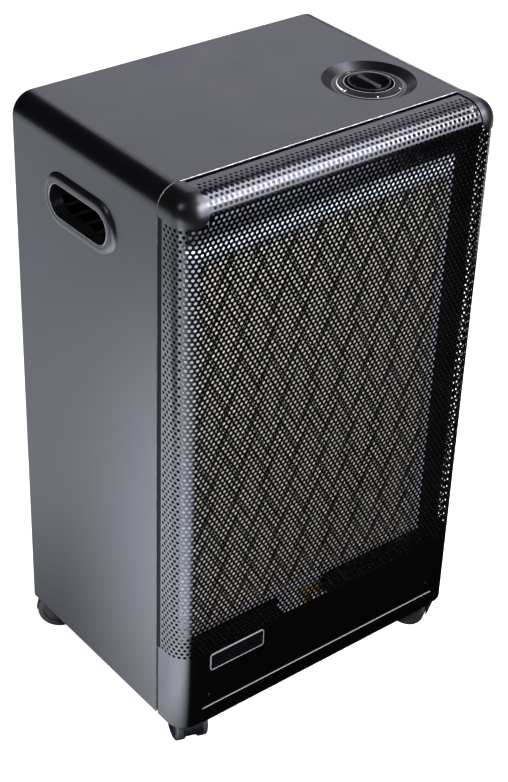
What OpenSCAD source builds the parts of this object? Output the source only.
// Cabinet gas heater with a catalytic panel, on four twin-wheel castors.
// Millimetres. +Z is up, the front faces -Y, and the origin is on the ground under the cabinet's centre.

/* [Cabinet] */
// Width across the cabinet's sides
cabinet_w = 420; // [400:5:480]
// Depth from the front sheet to the rear flange
cabinet_d = 306; // [290:2:340]
// Height of the cabinet above its bottom edge
cabinet_h = 678; // [640:2:740]
// Height of the cabinet's bottom edge above the ground
ground_gap = 42; // [40:1:48]
// Outer radius of the folded corners
corner_r = 24; // [18:1:28]
// Thickness of the cabinet's sheet steel
sheet_t = 1; // [0.8:0.1:1.4]
// Distance from the front face to the shell's front edge
shell_setback = 46; // [44:1:52]
// Width of the shell's in-turned rear flange
rear_flange_w = 18; // [16:1:24]

/* [Front sheets] */
// Height of the plain lower panel above the cabinet's bottom edge
lower_panel_h = 103; // [90:1:120]
// Depth of the grille's flanks, measured from the front face
grille_flank = 39; // [36:1:41]
// Depth of the lower panel's flanks
lower_flank = 42; // [38:1:43]
// Depth of the grille's top flange
grille_top_flange = 38.5; // [34:0.5:41]
// Openings across the grille's front
grid_across = 12; // [6:1:12]
// Side of an opening, as a share of the distance between openings
grid_share = 0.6; // [0.4:0.05:0.75]
// Width and height of a corner cap's cover
cap_size = 29; // [27:1:34]
// Depth of a corner cap along the side
cap_depth = 44; // [42:1:45]
// How far the caps stand proud of the sheets
cap_proud = 1.2; // [0.8:0.1:2]
// Wall of a corner cap
cap_t = 2.2; // [1.6:0.1:3]

/* [Base] */
// Height of the base plate's top above the cabinet's bottom edge
base_rise = 21; // [19:1:26]
// Thickness of the base plate
base_t = 1.2; // [1:0.1:2]
// Distance from the cabinet's side to the end of the front lip
lip_end = 32; // [28:1:40]
// Depth of the base plate's side flanges
base_flange_h = 14; // [8:1:18]
// Width of the raised rest for the gas cylinder
rest_w = 300; // [240:5:305]
// Length of the raised rest, front to back
rest_l = 160; // [120:5:165]
// Height of the raised rest over the base plate
rest_rise = 2; // [1.5:0.1:3]

/* [Name plate] */
// Width of the bare name plate
plate_w = 76.5; // [60:0.5:100]
// Height of the name plate
plate_h = 23; // [16:1:26]
// Thickness of the name plate
plate_t = 1; // [0.6:0.1:2]
// Distance from the cabinet's left side to the plate
plate_x = 42.5; // [36:0.5:60]
// Height of the plate's lower edge above the cabinet's bottom edge
plate_z = 74; // [40:1:78]

/* [Handles] */
// Length of the hand hole
hand_hole_l = 106; // [90:1:116]
// Height of the hand hole
hand_hole_h = 39; // [34:1:44]
// Width of the ring round the hand hole
ring_w = 12; // [10:0.5:15]
// How far the ring stands out from the side
ring_rise = 4.6; // [3:0.2:6]
// Wall of the ring's neck
neck_t = 2; // [1.5:0.1:3]
// Length of the neck inside the cabinet
neck_l = 12; // [8:1:16]
// Distance from the front face to the hand hole's centre
hand_y = 180; // [170:1:195]
// Distance from the cabinet's top down to the hand hole's centre
hand_drop = 85.5; // [75:0.5:110]

/* [Burner] */
// Half of the pad's visible width
pad_half_w = 167.5; // [150:0.5:170]
// Height of the visible pad
pad_h = 475; // [420:5:490]
// Height of the visible pad's lower edge above the cabinet's bottom edge
pad_z = 111; // [108:1:120]
// Depth of the pad's front behind the front face
pad_depth = 35; // [33:0.5:38]
// Thickness of the catalytic pad
pad_t = 12; // [8:0.5:16]
// Thickness of the insulation board behind the pad
insulation_t = 28; // [20:1:32]
// Width of the burner frame's strips
frame_w = 16; // [14:0.5:18]
// Height of the frame's top strip
frame_top_w = 22; // [16:0.5:24]
// Thickness of the burner's sheet steel
burner_t = 1; // [0.8:0.1:1.4]
// Depth of the burner tray behind its flange
tray_depth = 45; // [43:1:50]
// Thickness of the wire mesh in front of the pad
mesh_t = 0.8; // [0.5:0.1:1.2]
// Height of the convex frame over its outer edge
frame_rise = 7; // [5:0.5:9]
// Depth of the heat shield's rear wall behind the front face
shield_depth = 95; // [93:1:100]
// Gap between the heat shield's roof and the cabinet's top
shield_drop = 29; // [27:1:40]
// Thickness of the side rails
rail_t = 1.2; // [1:0.1:2]
// Width of a side rail's strip
rail_w = 29; // [24:1:34]

/* [Controls] */
// Distance from the cabinet's right side to the knob's axis
knob_inset_x = 84; // [75:1:100]
// Distance from the front face to the knob's axis
knob_y = 121.5; // [116:0.5:140]
// Diameter of the dish stamped round the knob
dish_d = 104; // [98:1:110]
// Depth of the dish
dish_depth = 6; // [4:0.5:8]
// Diameter of the dish's flat floor
dish_floor_d = 82; // [80:1:88]
// Diameter of the hole in the dish's floor
dish_hole_d = 76; // [70:1:78]
// Inner diameter of the bezel
bezel_d = 53.5; // [52:0.5:58]
// Diameter of the knob
knob_d = 48; // [44:0.5:50]
// Height of the knob's cup
knob_h = 15; // [12:0.5:18]
// Wall of the knob's cup
knob_wall = 2; // [1.5:0.1:3]
// Width of the knob's grip bar
grip_w = 9; // [7:0.5:12]
// Diameter of the valve spindle
spindle_d = 8; // [6:0.5:10]
// Travel when the knob is pressed
press_travel = 4; // [3:0.5:5]
// Length of the return spring at rest
spring_l = 16; // [14:0.5:20]
// Wire diameter of the return spring
spring_wire = 1.2; // [0.8:0.1:1.6]
// Edge length of the valve body
valve_size = 36; // [30:1:40]
// Diameter of the hose nozzle's spigot
nozzle_d = 8; // [6:0.5:10]
// Length of the nozzle's spigot
nozzle_l = 22; // [16:1:30]
// Diameter of the hole in the rear cover for the hose
hose_port_d = 22; // [18:1:24]
// Diameter of the burner pipe
burner_pipe_d = 8; // [6:0.5:10]
// Diameter of the pilot pipe
pilot_pipe_d = 4; // [3:0.5:6]
// Diameter of the thermocouple's lead
lead_d = 2; // [1.5:0.25:3]

/* [Castors] */
// Diameter of the castor wheels
wheel_d = 48; // [46:1:50]
// Width of one wheel
wheel_w = 11.5; // [9:0.5:12]
// Thickness of the hood's web between the wheels
web_t = 13; // [12:0.5:14]
// Distance from the swivel axis to the axle
trail = 15; // [12:0.5:16]
// Diameter of the axle
axle_d = 5; // [4:0.5:6]
// Diameter of the swivel stem
stem_d = 7; // [5:0.5:8]
// Distance from the cabinet's side to a castor's swivel axis
castor_inset_x = 39.5; // [39:0.5:60]
// Distance from the front face to the front castors' axes
castor_front_y = 46; // [42:1:60]
// Distance from the rear flange to the rear castors' axes
castor_rear_y = 22; // [20:1:50]
// Thickness of a castor's top plate
castor_plate_t = 2; // [1.5:0.1:3]
// Width of a castor's top plate
castor_plate_w = 40; // [36:1:44]
// Direction from the front left castor's swivel axis to its axle, in degrees
heading_front_left = -109; // [-180:1:180]
// Direction from the front right castor's swivel axis to its axle
heading_front_right = -60; // [-180:1:180]
// Direction from the rear left castor's swivel axis to its axle
heading_rear_left = 138; // [-180:1:180]
// Direction from the rear right castor's swivel axis to its axle
heading_rear_right = 70; // [-180:1:180]

/* [Fits] */
// Gap between a piece and its seat
seat = 0.3; // [0.2:0.05:0.4]
// Radial clearance of a shaft in its bore
running = 0.06; // [0.03:0.01:0.1]

/* [Hidden] */
$fn = 96;

// A cut runs this far past the faces that it opens.
past = 1;
// The rear castors' overhang moves the cabinet forward, so that the origin is under the whole heater.
overhang = 20;

half_w = cabinet_w / 2;
front_y = -(cabinet_d + overhang) / 2;
rear_y = front_y + cabinet_d;
top_z = ground_gap + cabinet_h;
shell_y = front_y + shell_setback;
floor_z = ground_gap + base_rise;
inner_x = half_w - sheet_t;
grille_z = ground_gap + lower_panel_h;
cap_x = half_w - cap_size;
cap_z = top_z - cap_size;
lip_x = half_w - lip_end;

// Colours of the materials.
charcoal = [0.30, 0.31, 0.33];
black = [0.08, 0.08, 0.09];
steel = [0.72, 0.73, 0.74];
brass = [0.78, 0.62, 0.30];

module box(low, high) {
    translate(low) cube(high - low);
}

// Outline seen from above, from the front face back to a given depth, with round front corners.
module plan_2d(inset, rear) {
    r = corner_r - inset;
    half = half_w - inset;
    front = front_y + inset;
    intersection() {
        union() {
            translate([-half, front + r]) square([2 * half, rear - front - r]);
            translate([r - half, front]) square([2 * (half - r), rear - front]);
            for (side = [-1, 1])
                translate([side * (half - r), front + r]) circle(r);
        }
        translate([-half, front]) square([2 * half, rear - front]);
    }
}

// Outline seen from the front, from a given height up to the roof, with round top corners.
module arch_2d(inset, low) {
    r = max(corner_r - inset, sheet_t);
    half = half_w - inset;
    roof = top_z - inset;
    translate([-half, low]) square([2 * half, roof - r - low]);
    translate([r - half, low]) square([2 * (half - r), roof - low]);
    for (side = [-1, 1])
        translate([side * (half - r), roof - r]) circle(r);
}

// Angle sheet with a round outer bend at its top left corner.
module angle_2d(width, height, r, t) {
    difference() {
        corner_2d(width, height, r);
        translate([t, -past]) corner_2d(width - t + past, height - t + past, r - t);
    }
}

module corner_2d(width, height, r) {
    intersection() {
        union() {
            square([width, height - r]);
            translate([r, 0]) square([width - r, height]);
            translate([r, height - r]) circle(r);
        }
        square([width, height]);
    }
}

// Slot outline with round ends, centred on the origin.
module slot_2d(length, height) {
    square([length - height, height], center = true);
    for (side = [-1, 1])
        translate([side * (length - height) / 2, 0]) circle(d = height);
}

// Extrudes an XZ outline along Y, from y0 to y1.
module along_y(y0, y1) {
    translate([0, y1, 0]) rotate([90, 0, 0]) linear_extrude(y1 - y0) children();
}

// Extrudes a YZ outline along X, from x0 to x1.
module along_x(x0, x1) {
    translate([x0, 0, 0]) rotate([90, 0, 90]) linear_extrude(x1 - x0) children();
}

// Round bar or hole along Y, from y0 to y1.
module rod_y(x, z, d, y0, y1) {
    translate([x, y1, z]) rotate([90, 0, 0]) cylinder(h = y1 - y0, d = d);
}

// ---- Cabinet ----

knob_x = half_w - knob_inset_x;
knob_cy = front_y + knob_y;
hand_cy = front_y + hand_y;
hand_cz = top_z - hand_drop;
neck_gap = neck_t + seat;

module cabinet_shell() {
    color(charcoal) {
        difference() {
            along_y(shell_y, rear_y) arch_2d(0, ground_gap);
            along_y(shell_y - past, rear_y + past) arch_2d(sheet_t, ground_gap - past);
            translate([knob_x, knob_cy, top_z - 2 * sheet_t]) cylinder(h = 4 * sheet_t, d = dish_d);
            along_x(-half_w - past, half_w + past) translate([hand_cy, hand_cz])
                slot_2d(hand_hole_l + 2 * neck_gap, hand_hole_h + 2 * neck_gap);
        }
        rear_flange();
        translate([knob_x, knob_cy, top_z]) dish();
    }
}

// In-turned flange round the rear opening, with slots for the cover's hooks.
module rear_flange() {
    difference() {
        along_y(rear_y - sheet_t, rear_y) arch_2d(sheet_t / 2, floor_z);
        along_y(rear_y - 2 * sheet_t, rear_y + past) arch_2d(rear_flange_w, floor_z - past);
        for (side = [-1, 1], z = hook_heights)
            box([side * hook_x - hook_slot_w / 2, rear_y - 2 * sheet_t, z],
                [side * hook_x + hook_slot_w / 2, rear_y + past, z + hook_slot_h]);
    }
}

// Conical dish stamped into the roof round the knob, with its rim at z = 0.
module dish() {
    rim_r = dish_d / 2;
    floor_r = dish_floor_d / 2;
    hole_r = dish_hole_d / 2;
    rotate_extrude() polygon([[rim_r + sheet_t, 0], [rim_r, 0], [floor_r, -dish_depth], [hole_r, -dish_depth],
        [hole_r, -dish_depth - sheet_t], [floor_r, -dish_depth - sheet_t], [rim_r, -sheet_t],
        [rim_r + sheet_t, -sheet_t]]);
}

module base_plate() {
    color(charcoal) difference() {
        union() {
            translate([0, 0, floor_z - base_t]) linear_extrude(base_t)
                plan_2d(sheet_t + seat, rear_y - sheet_t - seat);
            for (side = [-1, 1])
                mirror([side < 0 ? 1 : 0, 0, 0])
                    box([inner_x - base_t, shell_y, floor_z - base_flange_h],
                        [inner_x, rear_y - sheet_t - seat, floor_z]);
            box([-lip_x, front_y - base_t, ground_gap], [lip_x, front_y, floor_z]);
            box([-lip_x, front_y - base_t, floor_z - base_t], [lip_x, front_y + 2 * sheet_t, floor_z]);
            rest_block(0, floor_z - base_t, floor_z + rest_rise);
        }
        for (k = [0 : 3])
            castor_screw_places(k) cylinder(h = 3 * base_t, d = screw_d + 2 * seat, center = true);
        rest_block(base_t, floor_z - 2 * base_t, floor_z + rest_rise - base_t);
    }
}

// Block inside the outline of the raised rest for the gas cylinder, between two heights.
module rest_block(inset, low, high) {
    box([inset - rest_w / 2, rest_y + inset, low], [rest_w / 2 - inset, rest_y + rest_l - inset, high]);
}

// Distance of a hook's centre from the middle, and the hooks' rest heights.
hook_w = 4;
hook_t = 2;
hook_x = half_w - rear_flange_w / 2;
hook_slot_w = hook_w + 2 * seat;
hook_drop = 8;
lift_range = 12;
hook_slot_h = hook_t + lift_range + hook_t;
hook_margin = 102;
hook_heights = [ground_gap + hook_margin, top_z - hook_margin];
cover_margin = 8;
louvre_w = 110;
louvre_h = 5;
louvre_pitch = 16;
louvre_rows = 7;
louvre_low = 170;
louvre_high = 150;
louvre_banks = [ground_gap + louvre_low, top_z - louvre_high];

module rear_cover() {
    cover_y = rear_y + seat;
    color(charcoal) {
        difference() {
            box([cover_margin - half_w, cover_y, floor_z + seat],
                [half_w - cover_margin, cover_y + sheet_t, top_z - cover_margin]);
            for (side = [-1, 1], bank = louvre_banks, row = [0 : louvre_rows - 1])
                translate([side * louvre_w, cover_y, bank + (row - (louvre_rows - 1) / 2) * louvre_pitch])
                    cube([louvre_w, 4 * sheet_t, louvre_h], center = true);
            rod_y(knob_x, nozzle_z, hose_port_d, cover_y - past, cover_y + sheet_t + past);
        }
        for (side = [-1, 1], z = hook_heights)
            translate([side * hook_x - hook_w / 2, 0, z]) cover_hook(cover_y);
    }
}

// Hook through the flange's slot: an arm that rests in the slot and a tongue behind the flange.
module cover_hook(cover_y) {
    tongue_y = rear_y - sheet_t - seat - hook_t;
    translate([0, tongue_y, 0]) cube([hook_w, cover_y - tongue_y + sheet_t / 2, hook_t]);
    translate([0, tongue_y, -hook_drop]) cube([hook_w, hook_t, hook_drop + hook_t / 2]);
}

module front_grille() {
    edge_y = front_y + grille_flank;
    color(black) difference() {
        union() {
            translate([0, 0, grille_z]) linear_extrude(cap_z - grille_z) difference() {
                plan_2d(0, edge_y);
                plan_2d(sheet_t, edge_y + past);
            }
            along_x(-cap_x, cap_x) translate([front_y, cap_z])
                angle_2d(grille_top_flange, cap_size, corner_r, sheet_t);
        }
        grille_openings();
    }
}

// Coarse grid of openings that stands for the grille's fine holes.
module grille_openings() {
    grid_w = 2 * (half_w - corner_r);
    grid_h = cap_z - grille_z;
    pitch_x = grid_w / grid_across;
    rows = floor(grid_h / pitch_x);
    pitch_z = grid_h / rows;
    for (i = [0 : grid_across - 1], j = [0 : rows - 1])
        translate([(i + 1 / 2) * pitch_x - grid_w / 2, front_y, grille_z + (j + 1 / 2) * pitch_z])
            cube([grid_share * pitch_x, 4 * sheet_t, grid_share * pitch_z], center = true);
}

module lower_panel() {
    edge_y = front_y + lower_flank;
    color(black) difference() {
        translate([0, 0, ground_gap]) linear_extrude(lower_panel_h) plan_2d(0, edge_y);
        translate([0, 0, ground_gap - past]) linear_extrude(lower_panel_h + 2 * past)
            plan_2d(sheet_t, edge_y + past);
        box([-lip_x - seat, front_y - past, ground_gap - past],
            [lip_x + seat, front_y + 2 * sheet_t, floor_z]);
    }
}

// Rounded corner block: a ball, three round edges and three flat sides, reaching to the given sizes.
module cap_block(grow, r, width, depth, height) {
    intersection() {
        translate([-grow, -grow, grow - height])
            cube([width + grow, depth + grow, height]);
        union() {
            translate([r - grow, r - grow, grow - r]) sphere(r);
            translate([r - grow, r - grow, grow - r]) rotate([-90, 0, 0]) cylinder(h = depth, r = r);
            translate([r - grow, r - grow, grow - r]) rotate([0, 90, 0]) cylinder(h = width, r = r);
            translate([r - grow, r - grow, grow - r - height]) cylinder(h = height, r = r);
            translate([r - grow, r - grow, -height]) cube([width, depth, height + grow]);
            translate([r - grow, -grow, -height]) cube([width, depth, height + grow - r]);
            translate([-grow, r - grow, -height]) cube([width, depth, height + grow - r]);
        }
    }
}

// Corner cap on the left; its own origin is the cabinet's sharp outer corner.
module corner_cap() {
    translate([-half_w, front_y, top_z]) difference() {
        cap_block(cap_proud, corner_r + cap_proud, cap_size, cap_depth, cap_size + cap_proud);
        cap_block(-cap_t, corner_r - cap_t, cap_size + past, cap_depth + past, cap_size + cap_proud + past);
    }
}

module corner_cap_left() {
    color(black) corner_cap();
}

module corner_cap_right() {
    color(black) mirror([1, 0, 0]) corner_cap();
}

module name_plate() {
    low = [plate_x - half_w, front_y - plate_t, ground_gap + plate_z];
    color(black) box(low, low + [plate_w, plate_t, plate_h]);
}

// Radius of the bead at the ring's mouth, as a share of the neck's wall.
bead_share = 0.8;
bead_r = bead_share * neck_t;

// Section of the handle ring: a neck, a small bead at its mouth and a convex skirt on the wall.
module ring_2d() {
    crest = 2 * neck_t;
    skirt_r = (pow(ring_w - crest, 2) + pow(ring_rise, 2)) / (2 * ring_rise);
    translate([0, -neck_l]) square([neck_t, neck_l + ring_rise / 2]);
    translate([bead_r, ring_rise / 2]) circle(r = bead_r);
    intersection() {
        square([ring_w, ring_rise]);
        translate([crest, ring_rise - skirt_r]) circle(skirt_r);
    }
}

// Stadium ring made of the section above, in the XY plane, standing out along +Z.
module stadium_ring(length, height) {
    straight = length - height;
    for (side = [-1, 1]) {
        translate([side * straight / 2, 0, 0]) rotate([0, 0, side < 0 ? 90 : -90])
            rotate_extrude(angle = 180) translate([height / 2, 0]) ring_2d();
        translate([-side * straight / 2, side * height / 2, 0]) rotate([90, 0, side > 0 ? 90 : -90])
            linear_extrude(straight) ring_2d();
    }
}

module handle_ring_left() {
    color(black) translate([-half_w, hand_cy, hand_cz]) rotate([90, 0, -90])
        stadium_ring(hand_hole_l, hand_hole_h);
}

module handle_ring_right() {
    mirror([1, 0, 0]) handle_ring_left();
}

// ---- Burner ----

pad_y = front_y + pad_depth;
pad_low = ground_gap + pad_z;
pad_high = pad_low + pad_h;
pad_hide = 4;
frame_x = pad_half_w + frame_w;
frame_low = pad_low - frame_w;
frame_high = pad_high + frame_top_w;
mesh_gap = 1.2;
frame_front = pad_y - mesh_t - mesh_gap - burner_t;
web_y = frame_front + frame_rise + burner_t;
tray_flange_w = 8;
tray_x = frame_x - tray_flange_w;
tray_low = frame_low + tray_flange_w;
tray_high = frame_high - tray_flange_w;
tray_back = web_y + tray_depth;
rail_y = front_y + corner_r + 5;
rail_high = cap_z;

// Holes and screws of the burner frame: four on each side.
screw_d = 3.6;
screw_x = frame_x - tray_flange_w / 2;
screw_count = 4;
function screw_z(i) = tray_low + (i + 0.5) * (tray_high - tray_low) / screw_count;

module frame_screw_holes() {
    for (i = [0 : screw_count - 1])
        rod_y(screw_x, screw_z(i), screw_d + 2 * seat, web_y - tray_flange_w, web_y + tray_flange_w);
}

// Rail on the right: a strip inside the flanks and a web that carries the burner tray.
module side_rail() {
    difference() {
        union() {
            box([inner_x - rail_t, rail_y, floor_z], [inner_x, rail_y + rail_w, rail_high]);
            box([tray_x + seat, web_y, floor_z], [inner_x, web_y + rail_t, rail_high]);
        }
        frame_screw_holes();
    }
}

module side_rail_right() {
    color(black) side_rail();
}

module side_rail_left() {
    color(black) mirror([1, 0, 0]) side_rail();
}

module burner_tray() {
    wall = burner_t;
    color(steel) difference() {
        union() {
            box([-frame_x, web_y - wall, frame_low], [frame_x, web_y, frame_high]);
            box([-tray_x, web_y - wall, tray_low], [tray_x, tray_back, tray_high]);
        }
        box([wall - tray_x, web_y - 2 * wall, tray_low + wall],
            [tray_x - wall, tray_back - wall, tray_high - wall]);
        rod_y(injector_x, injector_z, injector_d + 2 * running, tray_back - 2 * wall, tray_back + wall);
        for (side = [0, 1])
            mirror([side, 0, 0]) frame_screw_holes();
    }
}

// The pad and the boards behind it leave a gap to the tray's walls.
module catalytic_pad() {
    half = pad_half_w + pad_hide;
    color([0.80, 0.74, 0.60])
        box([-half, pad_y, pad_low - pad_hide], [half, pad_y + pad_t, pad_high + pad_hide]);
}

module insulation_board() {
    y = pad_y + pad_t;
    edge = burner_t + seat;
    color([0.85, 0.84, 0.80])
        box([edge - tray_x, y, tray_low + edge], [tray_x - edge, y + insulation_t, tray_high - edge]);
}

module pad_mesh() {
    half = pad_half_w + pad_hide - burner_t;
    color(steel) box([-half, pad_y - mesh_t, pad_low - pad_hide + burner_t],
        [half, pad_y, pad_high + pad_hide - burner_t]);
}

// Convex section of a frame strip: u runs inward from the outer edge, v towards the front.
module strip_2d(width) {
    crest = width - 3 * burner_t;
    rise = frame_rise - burner_t / 2;
    r = (pow(crest, 2) + pow(rise, 2)) / (2 * rise);
    intersection() {
        square([width, frame_rise + past]);
        difference() {
            translate([crest, frame_rise - r]) circle(r);
            translate([crest, frame_rise - r]) circle(r - burner_t);
        }
    }
    square([2 * burner_t, burner_t]);
}

// Keeps what lies in front of a trapezium in the XZ plane.
module mitre(points) {
    intersection() {
        children();
        along_y(front_y, web_y + past) polygon(points);
    }
}

// Four convex strips with mitred corners, and a flat strip along the top that is as wide as needed.
module burner_frame() {
    back = web_y - burner_t;
    bar_high = frame_high - frame_top_w + frame_w;
    in_low = frame_low + frame_w;
    in_high = bar_high - frame_w;
    color([0.83, 0.84, 0.85]) {
        for (side = [0, 1])
            mirror([side, 0, 0])
                mitre([[-frame_x, frame_low], [-pad_half_w, in_low],
                    [-pad_half_w, in_high], [-frame_x, bar_high]])
                    translate([-frame_x, back, frame_low]) linear_extrude(bar_high - frame_low)
                        mirror([0, 1]) strip_2d(frame_w);
        mitre([[-frame_x, frame_low], [frame_x, frame_low], [pad_half_w, in_low], [-pad_half_w, in_low]])
            along_x(-frame_x, frame_x) translate([back, frame_low]) rotate(90) strip_2d(frame_w);
        mitre([[-frame_x, bar_high], [frame_x, bar_high], [pad_half_w, in_high], [-pad_half_w, in_high]])
            along_x(-frame_x, frame_x) translate([back, bar_high]) rotate(90) mirror([1, 0])
                strip_2d(frame_w);
        box([-frame_x, back - burner_t, bar_high], [frame_x, back, frame_high]);
    }
}

screw_head_d = 6.5;
screw_head_h = 2.4;

module frame_screws() {
    color(steel) for (side = [0, 1], i = [0 : screw_count - 1])
        mirror([side, 0, 0]) {
            rod_y(screw_x, screw_z(i), screw_d, web_y - burner_t, web_y + rail_t + screw_head_h / 2);
            rod_y(screw_x, screw_z(i), screw_head_d, web_y + rail_t, web_y + rail_t + screw_head_h);
        }
}

shield_y = front_y + shield_depth;
// Distance from the heat shield to the raised rest for the cylinder.
rest_margin = 18;
rest_y = shield_y + rest_margin;
shield_x = inner_x - rail_t;
shield_high = top_z - shield_drop;
shield_front = web_y + rail_t + screw_head_h + seat;
pipe_pass_h = 42;

module heat_shield() {
    color(steel) difference() {
        box([-shield_x, shield_front, floor_z], [shield_x, shield_y + burner_t, shield_high]);
        box([burner_t - shield_x, shield_front - past, floor_z - past],
            [shield_x - burner_t, shield_y, shield_high - burner_t]);
        box([burner_t - shield_x, shield_front, floor_z - past],
            [shield_x - burner_t, shield_y + 2 * burner_t, floor_z + pipe_pass_h]);
        rod_y(injector_x, injector_z, injector_d + 2 * injector_wall,
            shield_y - past, shield_y + 2 * burner_t);
    }
}

injector_x = 40;
injector_z = top_z - 160;
injector_d = 14;
injector_wall = 2;
injector_flange_d = 22;
injector_end = shield_y + burner_t + 4;

module gas_injector() {
    color(brass) {
        rod_y(injector_x, injector_z, injector_d, tray_back - burner_t, injector_end);
        rod_y(injector_x, injector_z, injector_flange_d, tray_back, tray_back + injector_wall);
    }
}

// Pilot group in front of the pad's lower edge: bracket, burner, electrode and thermocouple.
pilot_y = front_y + 18;
pilot_x = -10;
electrode_x = -32;
probe_x = 8;
bracket_x = [-45, 18];
bracket_z = frame_low - 9;
bracket_t = 1.2;
bracket_h = 22;
stub_l = 8;
stub_d = 8;
pilot_d = 10;
pilot_h = 16;
hood_w = 24;
hood_h = 9;
hood_t = 1;
ceramic_d = 6;
ceramic_l = 22;
spark_d = 1.6;
spark_rise = 6;
spark_l = 9;
probe_d = 4;
probe_l = 30;

module pilot_bracket() {
    back = frame_front - seat;
    front = pilot_y - stub_d;
    color(steel) difference() {
        union() {
            box([bracket_x[0], front, bracket_z], [bracket_x[1], back, bracket_z + bracket_t]);
            box([bracket_x[0], back - bracket_t, bracket_z], [bracket_x[1], back, bracket_z + bracket_h]);
        }
        for (hole = [[pilot_x, stub_d], [electrode_x, ceramic_d], [probe_x, probe_d]])
            translate([hole[0], pilot_y, bracket_z - past])
                cylinder(h = bracket_t + 2 * past, d = hole[1] + 2 * seat);
    }
}

// Pilot burner: a stub through the bracket, a body and a bent hood over the flame.
module pilot_burner() {
    base = bracket_z + bracket_t;
    color(brass) translate([pilot_x, pilot_y, bracket_z - stub_l]) cylinder(h = stub_l + pilot_h, d = stub_d);
    color(brass) translate([pilot_x, pilot_y, base]) cylinder(h = pilot_h, d = pilot_d);
    color(steel) translate([pilot_x - hood_w / 2, pilot_y - pilot_d / 2, base + pilot_h - hood_t]) {
        cube([hood_w, pilot_d, hood_t]);
        for (x = [0, hood_w - hood_t])
            translate([x, 0, 0]) cube([hood_t, pilot_d, hood_h]);
    }
}

module igniter_electrode() {
    tip_z = bracket_z + ceramic_l + spark_rise;
    translate([electrode_x, pilot_y, 0]) {
        color([0.92, 0.90, 0.86]) translate([0, 0, bracket_z - stub_l])
            cylinder(h = stub_l + ceramic_l, d = ceramic_d);
        color(steel) translate([0, 0, bracket_z + ceramic_l - hood_t])
            cylinder(h = spark_rise + hood_t, d = spark_d);
        color(steel) translate([0, 0, tip_z]) sphere(d = spark_d);
        color(steel) translate([0, 0, tip_z]) rotate([0, 90, 0]) cylinder(h = spark_l, d = spark_d);
    }
}

// ---- Pipes ----

function unit(v) = v / norm(v);

// Round bar along any direction, from a to b.
module bar(a, b, d) {
    v = b - a;
    translate(a) rotate([0, acos(v[2] / norm(v)), atan2(v[1], v[0])]) cylinder(h = norm(v), d = d);
}

// Pipe along a path whose legs meet at right angles, with bends of one radius.
module pipe(path, d, bend) {
    last = len(path) - 2;
    for (i = [0 : last]) {
        u = unit(path[i + 1] - path[i]);
        bar(path[i] + (i > 0 ? bend : 0) * u, path[i + 1] - (i < last ? bend : 0) * u, d);
    }
    for (i = [1 : last])
        elbow(path[i], unit(path[i] - path[i - 1]), unit(path[i + 1] - path[i]), d, bend);
}

// Quarter bend at a corner, from direction a to direction b.
module elbow(corner, a, b, d, bend) {
    n = cross(a, b);
    c = corner + bend * (b - a);
    multmatrix([[-b[0], a[0], n[0], c[0]], [-b[1], a[1], n[1], c[1]],
        [-b[2], a[2], n[2], c[2]], [0, 0, 0, 1]])
        rotate_extrude(angle = 90) translate([bend, 0]) circle(d = d);
}

// ---- Controls: the stack under the knob, from the rim down ----

knob_sink = 1;
knob_floor_t = 3;
hub_h = 6;
hub_d = 16;
collar_h = 4;
collar_d = 15;
bonnet_h = 8;
bonnet_d = 18;
spindle_in = 22;
collar_gap = 0.2;
rim_z = top_z - knob_sink;
knob_z = rim_z - knob_h;
hub_z = knob_z - hub_h;
collar_z = hub_z - collar_gap - collar_h;
bonnet_z = collar_z - spring_l;
valve_z = bonnet_z - bonnet_h - valve_size;
spindle_z = bonnet_z - spindle_in;

module at_knob(z) {
    translate([knob_x, knob_cy, z]) children();
}

bezel_flange = 2;
bezel_rise = 4.5;
bezel_t = 2;

// Bezel under the dish's floor, with a sloping ring that stands up through the hole.
module knob_bezel() {
    inner_r = bezel_d / 2;
    hole_r = dish_hole_d / 2 - seat;
    outer_r = dish_hole_d / 2 + bezel_flange;
    color(black) at_knob(top_z - dish_depth - sheet_t) rotate_extrude()
        polygon([[inner_r, -bezel_t], [outer_r, -bezel_t], [outer_r, 0], [hole_r, 0], [hole_r, sheet_t],
            [hole_r - bezel_t, sheet_t], [inner_r + bezel_t, bezel_rise], [inner_r, bezel_rise]]);
}

grip_l = knob_d - knob_wall;

module knob() {
    color(black) at_knob(knob_z) difference() {
        union() {
            difference() {
                cylinder(h = knob_h, d = knob_d);
                translate([0, 0, knob_floor_t]) cylinder(h = knob_h, d = knob_d - 2 * knob_wall);
            }
            translate([-grip_w / 2, -grip_l / 2, knob_floor_t / 2])
                cube([grip_w, grip_l, knob_h - knob_floor_t / 2]);
            translate([0, 0, -hub_h]) cylinder(h = hub_h + knob_floor_t / 2, d = hub_d);
        }
        translate([0, 0, -hub_h - past]) cylinder(h = hub_h + past, d = spindle_d + 2 * running);
    }
}

module valve_spindle() {
    color(brass) at_knob(spindle_z) cylinder(h = knob_z - spindle_z, d = spindle_d);
}

module press_collar() {
    color(steel) at_knob(collar_z) difference() {
        cylinder(h = collar_h, d = collar_d);
        translate([0, 0, -past]) cylinder(h = collar_h + 2 * past, d = spindle_d + seat);
    }
}

// Coil of round wire: rings of points along a helix, closed at both ends.
spring_turns = 5;
spring_steps = 16;
spring_sides = 8;
spring_mean_d = (spindle_d + collar_d) / 2;

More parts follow.
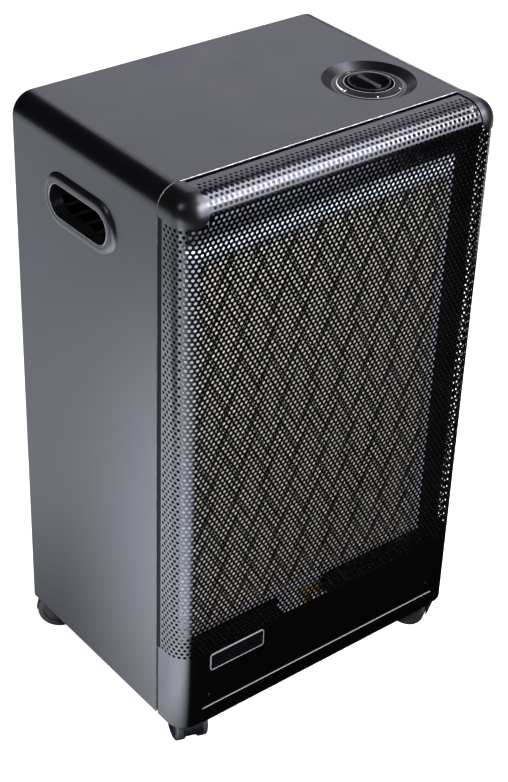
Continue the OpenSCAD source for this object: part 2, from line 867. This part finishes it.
module return_spring() {
    rings = spring_turns * spring_steps;
    wire_r = spring_wire / 2;
    rise = spring_l - spring_wire - 2 * spring_end_gap;
    points = [for (i = [0 : rings], j = [0 : spring_sides - 1])
        let (a = 360 * i / spring_steps, b = 360 * j / spring_sides, r = spring_mean_d / 2 + wire_r * cos(b))
        [r * cos(a), r * sin(a), wire_r + spring_end_gap + rise * i / rings + wire_r * sin(b)]];
    sides = [for (i = [0 : rings - 1], j = [0 : spring_sides - 1])
        let (k = (j + 1) % spring_sides, a = i * spring_sides, b = a + spring_sides)
        [a + j, b + j, b + k, a + k]];
    ends = [[for (j = [0 : spring_sides - 1]) j],
        [for (j = [0 : spring_sides - 1]) (rings + 1) * spring_sides - 1 - j]];
    color(steel) at_knob(bonnet_z) polyhedron(points, concat(sides, ends));
}

spring_end_gap = 0.1;
port_d = 14;
port_l = 6;
nozzle_z = valve_z + valve_size / 3;

module gas_valve() {
    half = valve_size / 2;
    color([0.70, 0.68, 0.62]) difference() {
        union() {
            at_knob(valve_z) translate([-half, -half, 0]) cube(valve_size);
            at_knob(valve_z + valve_size) cylinder(h = bonnet_h, d = bonnet_d);
        }
        at_knob(spindle_z - press_travel - past)
            cylinder(h = spindle_in + press_travel + 2 * past, d = spindle_d + 2 * running);
    }
}

shelf_t = 1.5;
shelf_left = 6;
piezo_d = 14;
piezo_h = 30;
piezo_gap = 10;
piezo_stud_d = 6;
piezo_stud_l = 6;
piezo_x = knob_x + valve_size / 2 + piezo_gap + piezo_d / 2;
shelf_z = valve_z - shelf_t;

// Angle bracket on the heat shield: a plate and the shelf that carries the valve and the igniter.
module valve_bracket() {
    left = knob_x - valve_size / 2 - shelf_left;
    right = piezo_x + piezo_d / 2 + shelf_left;
    back = shield_y + burner_t;
    color(steel) difference() {
        union() {
            box([left, back, shelf_z], [right, back + shelf_t, valve_z + valve_size]);
            box([left, back, shelf_z], [right, knob_cy + valve_size / 2, valve_z]);
        }
        translate([piezo_x, knob_cy, shelf_z - past])
            cylinder(h = shelf_t + 2 * past, d = piezo_stud_d + 2 * seat);
    }
}

module piezo_igniter() {
    translate([piezo_x, knob_cy, 0]) {
        color(black) translate([0, 0, valve_z]) cylinder(h = piezo_h, d = piezo_d);
        color(brass) translate([0, 0, shelf_z - piezo_stud_l])
            cylinder(h = piezo_stud_l + shelf_t + past, d = piezo_stud_d);
    }
}

module inlet_nozzle() {
    face = knob_cy + valve_size / 2;
    color(brass) {
        rod_y(knob_x, nozzle_z, port_d, face, face + port_l);
        rod_y(knob_x, nozzle_z, nozzle_d, face + port_l - past, face + port_l + nozzle_l);
    }
}

// Routes of the pipes from the valve's left face to the burner and the pilot.
port_x = knob_x - valve_size / 2;
port_low_z = valve_z + valve_size / 4;
port_high_z = valve_z + 3 * valve_size / 4;
port_side = valve_size / 4;
bend_large = 12;
bend_small = 6;
wall_gap = 3.5;
run_y = shield_y + burner_t + wall_gap;
stub_z = bracket_z - stub_l;
pilot_run_x = port_x - 16;
lead_run_x = port_x - 32;
pilot_run_z = floor_z + 22;
lead_run_z = floor_z + 15;
spark_run_z = floor_z + 8;
pilot_run_y = pilot_y + 16;
lead_run_y = pilot_y + 26;
spark_run_y = pilot_y + 36;
spark_lead_d = 2.5;

module burner_pipe() {
    y = knob_cy + port_side;
    color(brass) pipe([[port_x, y, port_high_z], [injector_x, y, port_high_z], [injector_x, y, injector_z],
        [injector_x, injector_end, injector_z]], burner_pipe_d, bend_large);
}

module pilot_pipe() {
    y = knob_cy - port_side;
    x = pilot_run_x;
    z = pilot_run_z;
    color(brass) pipe([[port_x, y, port_low_z], [x, y, port_low_z], [x, run_y, port_low_z],
        [x, run_y, z], [x, pilot_run_y, z], [pilot_x, pilot_run_y, z], [pilot_x, pilot_y, z],
        [pilot_x, pilot_y, stub_z]], pilot_pipe_d, bend_small / 2);
}

module thermocouple() {
    y = knob_cy + port_side;
    x = lead_run_x;
    z = lead_run_z;
    color(brass) pipe([[port_x, y, port_low_z], [x, y, port_low_z], [x, run_y, port_low_z],
        [x, run_y, z], [x, lead_run_y, z], [probe_x, lead_run_y, z], [probe_x, pilot_y, z],
        [probe_x, pilot_y, stub_z + past]], lead_d, bend_small);
    color(steel) translate([probe_x, pilot_y, stub_z]) cylinder(h = stub_l + probe_l, d = probe_d);
}

module ignition_lead() {
    top = shelf_z - piezo_stud_l;
    turn = top - 2 * bend_small;
    z = spark_run_z;
    color(black) pipe([[piezo_x, knob_cy, top], [piezo_x, knob_cy, turn], [piezo_x, run_y, turn],
        [piezo_x, run_y, z], [piezo_x, spark_run_y, z], [electrode_x, spark_run_y, z],
        [electrode_x, pilot_y, z], [electrode_x, pilot_y, stub_z]], spark_lead_d, bend_small);
}

// ---- Castors: one local frame each, +X from the swivel axis to the axle ----

corners = ["fl", "fr", "rl", "rr"];
castor_x = half_w - castor_inset_x;
front_castor_y = front_y + castor_front_y;
rear_castor_y = rear_y - castor_rear_y;
places = [[-castor_x, front_castor_y], [castor_x, front_castor_y],
    [-castor_x, rear_castor_y], [castor_x, rear_castor_y]];
headings = [heading_front_left, heading_front_right, heading_rear_left, heading_rear_right];
plate_top_z = floor_z - base_t;
stem_top_z = plate_top_z - castor_plate_t;
axle_z = wheel_d / 2;
stem_l = 30;
tyre_gap = 0.8;
fender_t = 1.7;
fender_r = wheel_d / 2 + tyre_gap + fender_t;
fender_w = 24;
hub_r = 8;
wheel_gap = 1;
edge_r = 2;
dish_in = 6.5;
dish_out = 17;
dish_deep = 2.5;
screw_margin = 6;
castor_head_h = 1.8;
screw_tip = 1.5;
axle_end = web_t / 2 + wheel_gap + wheel_w - dish_deep + 1;

module castor_screw_places(k) {
    reach = castor_plate_w / 2 - screw_margin;
    for (x = [-reach, reach], y = [-reach, reach])
        translate([places[k][0] + x, places[k][1] + y, plate_top_z]) children();
}

module at_castor(k) {
    translate(places[k]) rotate(headings[k]) children();
}

module castor_screws() {
    color(steel) for (k = [0 : 3])
        castor_screw_places(k) translate([0, 0, -castor_plate_t]) {
            cylinder(h = castor_plate_t + base_t + screw_tip, d = screw_d);
            translate([0, 0, -castor_head_h]) cylinder(h = castor_head_h, d = screw_head_d);
        }
}

module castor_plate(k) {
    color(steel) {
        difference() {
            translate([places[k][0], places[k][1], stem_top_z + castor_plate_t / 2])
                cube([castor_plate_w, castor_plate_w, castor_plate_t], center = true);
            castor_screw_places(k) cylinder(h = 4 * castor_plate_t, d = screw_d + 2 * seat, center = true);
        }
        translate([places[k][0], places[k][1], stem_top_z - stem_l])
            cylinder(h = stem_l + castor_plate_t / 2, d = stem_d);
    }
}

// Hood: a web between the wheels with the stem's socket, and a fender over them.
module castor_hood(k) {
    low = axle_z - hub_r / 2;
    color(black) at_castor(k) difference() {
        union() {
            along_y(-web_t / 2, web_t / 2) {
                fender_half_2d(fender_r, low);
                translate([trail, axle_z]) circle(hub_r);
            }
            along_y(-fender_w / 2, fender_w / 2) difference() {
                fender_half_2d(fender_r, low);
                translate([trail, axle_z]) circle(fender_r - fender_t);
            }
            translate([0, 0, axle_z]) cylinder(h = stem_top_z - seat - axle_z, d = web_t);
        }
        translate([0, 0, stem_top_z - stem_l - past]) cylinder(h = stem_l + past, d = stem_d + 2 * running);
        rod_y(trail, axle_z, axle_d + 2 * running, -web_t, web_t);
    }
}

// Part of a disc round the axle that lies above a given height.
module fender_half_2d(r, low) {
    intersection() {
        translate([trail, axle_z]) circle(r);
        translate([trail - 2 * r, low]) square([4 * r, 4 * r]);
    }
}

module castor_axle(k) {
    color(steel) at_castor(k) rod_y(trail, axle_z, axle_d, -axle_end, axle_end);
}

module castor_wheel(k, side) {
    color(black) at_castor(k) mirror([0, side, 0])
        translate([trail, web_t / 2 + wheel_gap, axle_z]) rotate([-90, 0, 0]) difference() {
            rotate_extrude() wheel_2d(wheel_d / 2, wheel_w);
            translate([0, 0, -past]) cylinder(h = wheel_w + 2 * past, d = axle_d + 2 * running);
        }
}

module wheel_2d(r, width) {
    difference() {
        union() {
            square([r - edge_r, width]);
            translate([0, edge_r]) square([r, width - 2 * edge_r]);
            for (y = [edge_r, width - edge_r])
                translate([r - edge_r, y]) circle(edge_r);
        }
        translate([dish_in, width - dish_deep]) square([dish_out - dish_in, 2 * dish_deep]);
    }
}

cabinet_shell();
base_plate();
rear_cover();
front_grille();
lower_panel();
corner_cap_left();
corner_cap_right();
name_plate();
handle_ring_left();
handle_ring_right();
side_rail_left();
side_rail_right();
burner_tray();
insulation_board();
catalytic_pad();
pad_mesh();
burner_frame();
heat_shield();
pilot_burner();
pilot_bracket();
igniter_electrode();
thermocouple();
gas_injector();
frame_screws();
gas_valve();
valve_bracket();
knob_bezel();
return_spring();
press_collar();
valve_spindle();
knob();
piezo_igniter();
ignition_lead();
burner_pipe();
pilot_pipe();
inlet_nozzle();
castor_screws();
for (k = [0 : 3]) {
    castor_plate(k);
    castor_hood(k);
    castor_axle(k);
    castor_wheel(k, 0);
    castor_wheel(k, 1);
}
